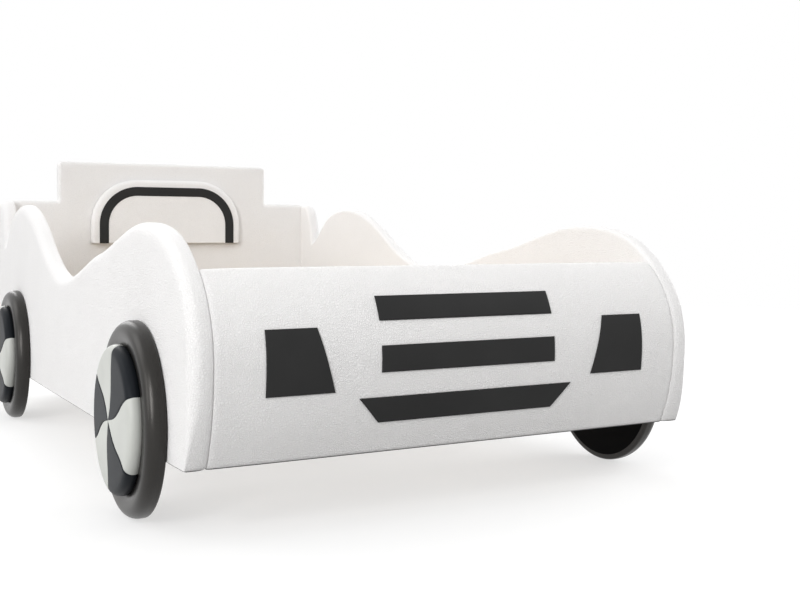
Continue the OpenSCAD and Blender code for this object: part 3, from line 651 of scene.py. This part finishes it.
def nose_panel():
    """Bent panel from side to side, its sections closer together at its two ends."""
    near = [NOSE_EDGE[1] * (1 - math.cos(math.radians(a))) for a in range(0, 91, 9)]
    near += NOSE_ENDS[:-1]
    inner = END - NOSE_ENDS[-1]
    xs = ([-END + d for d in near] + [-inner + 2 * inner * i / NOSE_STEPS for i in range(NOSE_STEPS + 1)]
          + [END - d for d in reversed(near)])
    bm = bmesh.new()
    rows = []
    for x in xs:
        d = END - abs(x)
        section = nose_section(float(drop(np.array([d]), *NOSE_EDGE)[0])
                               + BOARD_FALL * (1 - float(ease(d / NOSE_FALL_REACH))))
        row = []
        for i, p in enumerate(section):
            along = section[(i + 1) % len(section)] - section[i - 1]
            along = along / max(1e-9, np.linalg.norm(along))
            q = p + np.array([along[1], -along[0]]) * nose_dent(x, *p)
            row.append(bm.verts.new((x, q[0] - MID, q[1])))
        rows.append(row)
    quads(bm, [r + r[:1] for r in rows])
    bm.faces.new(rows[0])
    bm.faces.new(list(reversed(rows[-1])))
    o = piece("padded_nose", bm, WHITE, "nose_cover")


nose_panel()


# Grille bars and lamps, sewn on the nose
def on_nose(p, h):
    """Place in space of (across, height) on the nose, h over its skin."""
    q = nose_at(nose_angle(p[1]), -PATCH_OVER_NOSE - h)
    return (p[0], q[0] - MID, q[1])


def skin_z(s):
    """Height of a place on the nose, so far along its skin over the foremost line."""
    r = NOSE_LOW_R if s < 0 else NOSE_UP_R
    return NOSE_Z + r * math.sin(s / r)


def edged(a, b, n):
    """Places from a to b, close together at both ends and in n even steps between."""
    soft = PATCH_EDGE[-1]
    return ([a + d for d in PATCH_EDGE] + [a + soft + (b - a - 2 * soft) * i / n for i in range(1, n)]
            + [b - d for d in reversed(PATCH_EDGE)])


def nose_patch(name, low, high, left, right, node):
    """Patch between two heights; left and right give its ends' places at its foot and at its head."""
    rows = []
    for z in edged(low, high, 12):
        k = (z - low) / (high - low)
        a, b = left[0] + (left[1] - left[0]) * k, right[0] + (right[1] - right[0]) * k
        rows.append([(x, z) for x in edged(a, b, 24)])
    patch(name, rows, on_nose, node)


for key, middle, spread in (("low", -BAR_PITCH, LOW_BAR_SPREAD), ("middle", 0, 0), ("top", BAR_PITCH, 0)):
    nose_patch("grille_" + key, skin_z(middle - BAR_H / 2), skin_z(middle + BAR_H / 2),
               (-BAR_HALF, -BAR_HALF - spread), (BAR_HALF, BAR_HALF + spread), "grille_bar_" + key)
nose_patch("lamp_patch_left", LAMP_LOW, LAMP_HIGH, [-x for x in LAMP_OUTER], [-x for x in LAMP_INNER],
           "lamp_left")
nose_patch("lamp_patch_right", LAMP_LOW, LAMP_HIGH, LAMP_INNER, LAMP_OUTER, "lamp_right")


# Wheels
def turned(bm, profile, angles, wheel, swirl=None, dip=None):
    """Surface of revolution on a wheel: profile of (radius, out from the side), angles from the forward
    direction, turned by swirl(radius) and sunk by dip(angle, radius) on its outer half."""
    sign, y = wheel
    middle = (min(w for _, w in profile) + max(w for _, w in profile)) / 2
    rows = []
    for angle in angles:
        row = []
        for r, w in profile:
            a = angle + (swirl(r) if swirl else 0.0)
            sag = dip(angle, r) if dip and w > middle else 0.0
            x = sign * (HALF + SIDE_T + w - sag)
            row.append(bm.verts.new((x, y - r * math.cos(a) - MID, WHEEL_R + r * math.sin(a))))
        rows.append(row)
    return rows


def tyre(name, wheel, node):
    """Padded ring of a wheel, whose front edge is rolled and slopes down to the hub."""
    seat, roll = TYRE_T - HUB_SUNK, (0.1338, TYRE_T)
    profile = [(0.02, TYRE_BACK), (0.1, TYRE_BACK)]
    profile += bezier((0.1462, TYRE_BACK), (0.149, TYRE_BACK), (WHEEL_R, 0.002), (WHEEL_R, 0.0048), 8, True)
    profile += [(WHEEL_R, 0.007), (WHEEL_R, 0.009)]
    profile += bezier((WHEEL_R, 0.0112), (WHEEL_R, 0.0214), (0.1436, 0.0297), roll, 20, True)
    profile += bezier(roll, (0.128, 0.0302), (0.121, 0.0296), (0.1163, 0.0276), 8)
    profile += [(0.112, seat), (0.02, seat)]
    bm = bmesh.new()
    rows = turned(bm, profile, [2 * math.pi * i / WHEEL_STEPS for i in range(WHEEL_STEPS)], wheel)
    quads(bm, rows, closed=True)
    bm.faces.new([r[0] for r in rows])
    bm.faces.new([r[-1] for r in reversed(rows)])
    o = piece(name, bm, TYRE, node)


def seam_turn(r):
    """Angle of a hub's first seam over the forward direction: it swirls a little outwards."""
    return math.radians(SEAM_START + SEAM_SWIRL * float(ease((r / HUB_R - 0.1) / 0.7)))


def hub(name, wheel, dark, node):
    """Sewn sectors of one colour: three padded wedges whose edges dip into the seams."""
    base, face = TYRE_T - HUB_SUNK, TYRE_T + HUB_T
    low = face - 0.0006
    radii = [0.0004] + [HUB_FLAT * i / 14 for i in range(1, 15)]
    back = [(r, base) for r in radii] + [(0.108, base), (0.1125, base), (0.1142, base + 0.002)]
    rim = bezier((HUB_R, base + 0.006), (0.1152, face - 0.0095), (0.1135, face - 0.0015), (HUB_FLAT, low),
                 14, True)
    front = [(r, low + HUB_CROWN * (1 - (r / HUB_FLAT) ** 1.3)) for r in reversed(radii[:-1])]
    profile = back + rim + front
    step = math.pi / 3
    end = SECTOR_ENDS[-1]
    offsets = [*SECTOR_ENDS] + [end + (step - 2 * end) * i / SECTOR_STEPS for i in range(1, SECTOR_STEPS)]
    offsets += [step - d for d in reversed(SECTOR_ENDS)]

    def dip(a, r):
        """Depth of the seams at an angle into the sector, shallower close to the hub's middle."""
        d = min(a, step - a) * max(r, 0.004)
        return SEAM_DEPTH * math.exp(-(d / SEAM_W) ** 2) * min(1, r / 0.02)

    bm = bmesh.new()
    for k in range(3):
        start = (2 * k + (0 if dark else 1)) * step
        rows = turned(bm, profile, [start + o for o in offsets], wheel, seam_turn,
                      lambda a, r, s=start: dip(a - s, r))
        quads(bm, [r + r[:1] for r in rows])
        for row in (rows[0], rows[-1]):
            for i in range(len(radii) - 2):
                bm.faces.new([row[i], row[i + 1], row[-2 - i], row[-1 - i]])
            bm.faces.new(row[len(radii) - 2:-len(radii) + 2])
    material, slot = (HUB_DARK, "hub_black") if dark else (HUB_LIGHT, "hub_white")
    o = piece(name, bm, material, node)


for axle, y in AXLES.items():
    for side, sign in SIDES:
        key = axle + "_" + side
        tyre("padded_tyre_" + key, (sign, y), "tyre_" + key)
        hub("padded_hub_light_" + key, (sign, y), False, "hub_light_" + key)
        hub("padded_hub_dark_" + key, (sign, y), True, "hub_dark_" + key)

# The other frame nodes keep their meshes and get their materials, and the planed wood has soft edges. A node
# takes the first row whose start its name has
DRESS = (
    ("slat_", SLATS, SLAT_BEVEL), ("side_board", CHIP, 0), ("head_board", CHIP, 0),
    ("nose_board", BENT_PLY, 0), ("wheel_board", BLACK_BOARD, 0), ("side_rail", PINE_Y, PINE_BEVEL),
    ("middle_beam", PINE_Y, PINE_BEVEL), ("foot_rail", PINE_X, PINE_BEVEL), ("head_rail", PINE_X, PINE_BEVEL),
    ("leg_glides", GLIDE, 0), ("leg_bolts", ZINC, 0), ("leg_", PINE_Z, 0), ("wheel_bolts", ZINC, 0),
    ("corner_brackets", ZINC, 0), ("bracket_screws", ZINC, 0), ("rail_screws", ZINC, 0))
for name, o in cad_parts.items():
    material, bevel = next((d[1:] for d in DRESS if name.startswith(d[0])), (None, 0))
    if material:
        for s in o.material_slots:
            s.material = material
    if bevel:
        b = o.modifiers.new("edges", "BEVEL")
        b.width = bevel
        b.segments = 2
        b.limit_method = "ANGLE"
        b.angle_limit = math.radians(50)

# Studio
FLOOR_GLOW = 0.58
FLOOR_FADE = (2.4, 5.0)  # distances at which the floor starts to turn into the background and has done so
FLOOR_Z = -0.0005
SKY = 0.71
LAMP_DISTANCE = 9.0
LAMP_AIM = Vector((0, 0, 0.3))
LAMPS = (  # name, turn, rise, power and size
    ("key_left", -82, 16, 105, (1.6, 4.8)), ("fill_front", -50, 20, 318, (1.6, 4.8)),
    ("front_high", 20, 45, 42, (4.0, 4.0)), ("fill_right", 95, 20, 380, (5.0, 5.0)),
    ("fill_high", -120, 40, 122, (5.0, 5.0)), ("fill_back", 170, 25, 260, (5.0, 5.0)))


def seen(tree):
    """1 for rays that show the background: from the camera, in gloss or through glass."""
    path = tree.nodes.new("ShaderNodeLightPath").outputs
    out = path["Is Camera Ray"]
    for key in ("Is Glossy Ray", "Is Transmission Ray"):
        top = tree.nodes.new("ShaderNodeMath")
        top.operation = "MAXIMUM"
        tree.links.new(out, top.inputs[0])
        tree.links.new(path[key], top.inputs[1])
        out = top.outputs[0]
    return out


def floor():
    """Pale floor that keeps the bed's shadow and fades into the white behind it."""
    bm = bmesh.new()
    bmesh.ops.create_grid(bm, x_segments=8, y_segments=8, size=20)
    mesh = bpy.data.meshes.new("floor")
    bm.to_mesh(mesh)
    bm.free()
    m = Nodes("floor_white")
    pale = m.ramp(m.noise(3.0, 2.0), [(0.3, 0.43), (0.7, 0.44)])
    away = m.new("VectorMath", {0: m.coords}, operation="LENGTH").outputs["Value"]
    far = m.new("MapRange", {"Value": away, "From Min": FLOOR_FADE[0], "From Max": FLOOR_FADE[1]},
                interpolation_type="SMOOTHSTEP").outputs[0]
    level = m.new("MapRange", {"Value": far, "To Min": FLOOR_GLOW, "To Max": 1.0}).outputs[0]
    m.out(m.mix(far, pale, (0.0, 0.0, 0.0)), 0.95, Specular_IOR_Level=0.0, Emission_Color=(1, 1, 1, 1),
          Emission_Strength=m.math("MULTIPLY", seen(m.tree), level))
    mesh.materials.append(m.mat)
    o = bpy.data.objects.new("floor", mesh)
    o.location.z = FLOOR_Z
    bpy.context.scene.collection.objects.link(o)


def lamp(name, turn, rise, power, size):
    """Large soft lamp, turned from the nose's direction towards the right and raised by that many degrees."""
    light = bpy.data.lights.new(name, "AREA")
    light.shape = "RECTANGLE"
    light.size, light.size_y = size
    light.energy = power
    turn, rise = math.radians(turn), math.radians(rise)
    out = Vector((math.sin(turn) * math.cos(rise), -math.cos(turn) * math.cos(rise), math.sin(rise)))
    o = bpy.data.objects.new(name, light)
    o.location = LAMP_AIM + out * LAMP_DISTANCE
    o.rotation_mode = "QUATERNION"
    o.rotation_quaternion = (-out).to_track_quat("-Z", "Y")
    bpy.context.scene.collection.objects.link(o)


floor()
for row in LAMPS:
    lamp(*row)
world = bpy.data.worlds.new("studio")
world.use_nodes = True
sky = world.node_tree.nodes["Background"]
sky.inputs["Color"].default_value = (1, 1, 1, 1)
level = world.node_tree.nodes.new("ShaderNodeMapRange")
level.inputs["To Min"].default_value = SKY
level.inputs["To Max"].default_value = 1.0
world.node_tree.links.new(seen(world.node_tree), level.inputs["Value"])
world.node_tree.links.new(level.outputs[0], sky.inputs["Strength"])
bpy.context.scene.world = world
bpy.context.scene.view_settings.view_transform = "Standard"

# Camera at the photograph's place, level, with its picture shifted as the photograph's is
PICTURE = (800, 600)  # size of the photograph in pixels, with its focal length and its optical centre
FOCAL = 1114.266
CENTRE = (439.79, 237.02)
EYE = (-0.9003, -2.3193, 0.4303)
EYE_TURN = 29.8056
SENSOR = 36
camera = bpy.data.cameras.new("camera")
camera.sensor_width = SENSOR
camera.lens = SENSOR * FOCAL / PICTURE[0]
camera.shift_x = (PICTURE[0] / 2 - CENTRE[0]) / PICTURE[0]
camera.shift_y = (CENTRE[1] - PICTURE[1] / 2) / PICTURE[0]
eye = bpy.data.objects.new("camera", camera)
eye.location = EYE
eye.rotation_euler = (math.pi / 2, 0, -math.radians(EYE_TURN))
bpy.context.scene.collection.objects.link(eye)
bpy.context.scene.camera = eye
